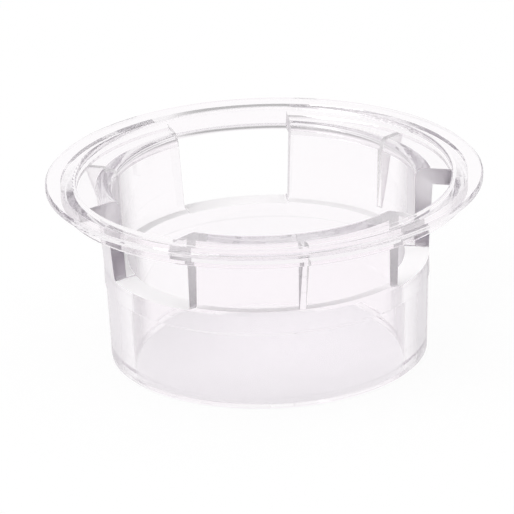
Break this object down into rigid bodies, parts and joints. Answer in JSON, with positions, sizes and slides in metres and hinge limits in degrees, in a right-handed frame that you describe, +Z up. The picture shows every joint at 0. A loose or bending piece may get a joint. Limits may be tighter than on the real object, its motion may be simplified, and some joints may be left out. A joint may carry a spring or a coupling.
{
  "type": "hanging cell culture insert",
  "caption": "Clear moulded cup that hangs by its rim in a well of a culture plate, with windows for a pipette and a porous membrane across its foot.",
  "frame": {"origin": "middle of the foot, on the membrane's underside, where the insert stands on a bench", "axes": "+Z up along the cup's axis, with one of the legs facing -Y"},
  "size_m": [0.037, 0.037, 0.0159],
  "materials": {
    "insert_body": "gloss",
    "membrane": "matte"
  },
  "bodies": {
    "root": {"insert_body": "insert_body", "membrane": "membrane"}
  },
  "joints": []
}
